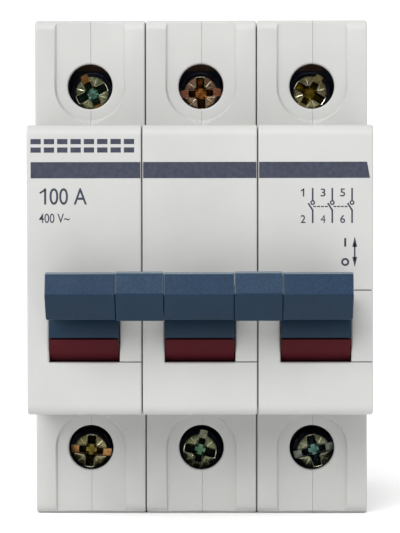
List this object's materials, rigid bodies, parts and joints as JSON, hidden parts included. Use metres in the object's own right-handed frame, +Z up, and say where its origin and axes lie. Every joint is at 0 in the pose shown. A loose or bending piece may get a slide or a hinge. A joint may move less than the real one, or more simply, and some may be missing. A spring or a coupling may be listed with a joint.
{
  "type": "three-pole modular switch-disconnector",
  "caption": "Modular switch-disconnector with a ganged toggle, cage-clamp terminals and clips for a 35 mm rail.",
  "frame": {"origin": "middle of the face that rests on the rail's front, on the stack's middle plane and level with the rail's middle", "axes": "+X to the right across the poles seen from the front, +Y to the back into the rail, +Z up; the handle faces -Y"},
  "size_m": [0.0536, 0.0768, 0.0798],
  "materials": {
    "housing": "fine-textured light grey moulding",
    "lever": "dark blue moulding, spark-eroded texture on the upper face",
    "indicator": "red, smooth; the part above the lever is green",
    "spring_steel": "zinc-plated steel",
    "zinc": "yellow-passivated zinc on steel",
    "copper": "bare copper",
    "carrier": "black thermoset",
    "clip": "natural light moulding"
  },
  "bodies": {
    "housing": {"pole1_base_shell": "housing", "pole1_cover_shell": "housing", "pole1_line_bar": "copper", "pole1_load_bar": "copper", "pole1_flexible_braid": "copper", "pole2_base_shell": "housing", "pole2_cover_shell": "housing", "pole2_line_bar": "copper", "pole2_load_bar": "copper", "pole2_flexible_braid": "copper", "pole3_base_shell": "housing", "pole3_cover_shell": "housing", "pole3_line_bar": "copper", "pole3_load_bar": "copper", "pole3_flexible_braid": "copper", "housing_rivet_1": "spring_steel", "housing_rivet_2": "spring_steel", "housing_rivet_3": "spring_steel", "housing_rivet_4": "spring_steel"},
    "handle": {"pole1_lever": "lever", "pole1_indicator": "indicator", "pole1_handle_spring": "spring_steel", "pole2_lever": "lever", "pole2_indicator": "indicator", "pole2_handle_spring": "spring_steel", "pole3_lever": "lever", "pole3_indicator": "indicator", "pole3_handle_spring": "spring_steel", "lever_coupler_1": "lever", "lever_coupler_2": "lever", "lever_tie_rod": "spring_steel"},
    "drive_link_1": {"pole1_drive_link": "spring_steel"},
    "contact_1": {"pole1_contact_carrier": "carrier", "pole1_contact_blade": "copper", "pole1_contact_spring": "spring_steel"},
    "drive_link_2": {"pole2_drive_link": "spring_steel"},
    "contact_2": {"pole2_contact_carrier": "carrier", "pole2_contact_blade": "copper", "pole2_contact_spring": "spring_steel"},
    "drive_link_3": {"pole3_drive_link": "spring_steel"},
    "contact_3": {"pole3_contact_carrier": "carrier", "pole3_contact_blade": "copper", "pole3_contact_spring": "spring_steel"},
    "line_screw_1": {"pole1_line_screw": "zinc"},
    "line_clamp_1": {"pole1_line_clamp": "spring_steel"},
    "load_screw_1": {"pole1_load_screw": "zinc"},
    "load_clamp_1": {"pole1_load_clamp": "spring_steel"},
    "line_screw_2": {"pole2_line_screw": "zinc"},
    "line_clamp_2": {"pole2_line_clamp": "spring_steel"},
    "load_screw_2": {"pole2_load_screw": "zinc"},
    "load_clamp_2": {"pole2_load_clamp": "spring_steel"},
    "line_screw_3": {"pole3_line_screw": "zinc"},
    "line_clamp_3": {"pole3_line_clamp": "spring_steel"},
    "load_screw_3": {"pole3_load_screw": "zinc"},
    "load_clamp_3": {"pole3_load_clamp": "spring_steel"},
    "rail_clip_1": {"pole1_rail_clip": "clip"},
    "rail_clip_2": {"pole2_rail_clip": "clip"},
    "rail_clip_3": {"pole3_rail_clip": "clip"}
  },
  "joints": [
    {"name": "toggle", "type": "hinge", "parent": "housing", "child": "handle", "pos_m": [0, -0.056, -0.00865], "axis": [1, 0, 0], "range_deg": [0, 43]},
    {"name": "link_turn_1", "type": "hinge", "parent": "handle", "child": "drive_link_1", "pos_m": [-0.0179, -0.05739, -0.01219], "axis": [1, 0, 0], "range_deg": [-43, 0]},
    {"name": "contact_turn_1", "type": "hinge", "parent": "housing", "child": "contact_1", "pos_m": [-0.0179, -0.024, -0.00865], "axis": [1, 0, 0], "range_deg": [0, 43], "deforming": ["pole1_flexible_braid"]},
    {"name": "link_turn_2", "type": "hinge", "parent": "handle", "child": "drive_link_2", "pos_m": [0, -0.05739, -0.01219], "axis": [1, 0, 0], "range_deg": [-43, 0]},
    {"name": "contact_turn_2", "type": "hinge", "parent": "housing", "child": "contact_2", "pos_m": [0, -0.024, -0.00865], "axis": [1, 0, 0], "range_deg": [0, 43], "deforming": ["pole2_flexible_braid"]},
    {"name": "link_turn_3", "type": "hinge", "parent": "handle", "child": "drive_link_3", "pos_m": [0.0179, -0.05739, -0.01219], "axis": [1, 0, 0], "range_deg": [-43, 0]},
    {"name": "contact_turn_3", "type": "hinge", "parent": "housing", "child": "contact_3", "pos_m": [0.0179, -0.024, -0.00865], "axis": [1, 0, 0], "range_deg": [0, 43], "deforming": ["pole3_flexible_braid"]},
    {"name": "line_screw_turn_1", "type": "hinge", "parent": "housing", "child": "line_screw_1", "pos_m": [-0.0179, -0.032, 0.02835], "axis": [0, 1, 0], "range_deg": [0, 2521]},
    {"name": "line_clamp_slide_1", "type": "slide", "parent": "housing", "child": "line_clamp_1", "axis": [0, -1, 0], "range_m": [0, 0.007]},
    {"name": "load_screw_turn_1", "type": "hinge", "parent": "housing", "child": "load_screw_1", "pos_m": [-0.01825, -0.032, -0.03025], "axis": [0, 1, 0], "range_deg": [0, 2521]},
    {"name": "load_clamp_slide_1", "type": "slide", "parent": "housing", "child": "load_clamp_1", "axis": [0, -1, 0], "range_m": [0, 0.007]},
    {"name": "line_screw_turn_2", "type": "hinge", "parent": "housing", "child": "line_screw_2", "pos_m": [-0.0001, -0.032, 0.02835], "axis": [0, 1, 0], "range_deg": [0, 2521]},
    {"name": "line_clamp_slide_2", "type": "slide", "parent": "housing", "child": "line_clamp_2", "axis": [0, -1, 0], "range_m": [0, 0.007]},
    {"name": "load_screw_turn_2", "type": "hinge", "parent": "housing", "child": "load_screw_2", "pos_m": [-0.0003, -0.032, -0.03025], "axis": [0, 1, 0], "range_deg": [0, 2521]},
    {"name": "load_clamp_slide_2", "type": "slide", "parent": "housing", "child": "load_clamp_2", "axis": [0, -1, 0], "range_m": [0, 0.007]},
    {"name": "line_screw_turn_3", "type": "hinge", "parent": "housing", "child": "line_screw_3", "pos_m": [0.01775, -0.032, 0.02835], "axis": [0, 1, 0], "range_deg": [0, 2521]},
    {"name": "line_clamp_slide_3", "type": "slide", "parent": "housing", "child": "line_clamp_3", "axis": [0, -1, 0], "range_m": [0, 0.007]},
    {"name": "load_screw_turn_3", "type": "hinge", "parent": "housing", "child": "load_screw_3", "pos_m": [0.0184, -0.032, -0.03025], "axis": [0, 1, 0], "range_deg": [0, 2521]},
    {"name": "load_clamp_slide_3", "type": "slide", "parent": "housing", "child": "load_clamp_3", "axis": [0, -1, 0], "range_m": [0, 0.007]},
    {"name": "rail_clip_slide_1", "type": "slide", "parent": "housing", "child": "rail_clip_1", "axis": [0, 0, -1], "range_m": [0, 0.005], "stiffness_N_per_m": 600, "springref_m": -0.002},
    {"name": "rail_clip_slide_2", "type": "slide", "parent": "housing", "child": "rail_clip_2", "axis": [0, 0, -1], "range_m": [0, 0.005], "stiffness_N_per_m": 600, "springref_m": -0.002},
    {"name": "rail_clip_slide_3", "type": "slide", "parent": "housing", "child": "rail_clip_3", "axis": [0, 0, -1], "range_m": [0, 0.005], "stiffness_N_per_m": 600, "springref_m": -0.002}
  ],
  "couplings": [
    {"joint": "link_turn_1", "follows": "toggle", "ratio": -1},
    {"joint": "contact_turn_1", "follows": "toggle", "ratio": 1},
    {"joint": "link_turn_2", "follows": "toggle", "ratio": -1},
    {"joint": "contact_turn_2", "follows": "toggle", "ratio": 1},
    {"joint": "link_turn_3", "follows": "toggle", "ratio": -1},
    {"joint": "contact_turn_3", "follows": "toggle", "ratio": 1},
    {"joint": "line_screw_turn_1", "follows": "line_clamp_slide_1", "rad_per_m": 6283.2},
    {"joint": "load_screw_turn_1", "follows": "load_clamp_slide_1", "rad_per_m": 6283.2},
    {"joint": "line_screw_turn_2", "follows": "line_clamp_slide_2", "rad_per_m": 6283.2},
    {"joint": "load_screw_turn_2", "follows": "load_clamp_slide_2", "rad_per_m": 6283.2},
    {"joint": "line_screw_turn_3", "follows": "line_clamp_slide_3", "rad_per_m": 6283.2},
    {"joint": "load_screw_turn_3", "follows": "load_clamp_slide_3", "rad_per_m": 6283.2}
  ]
}
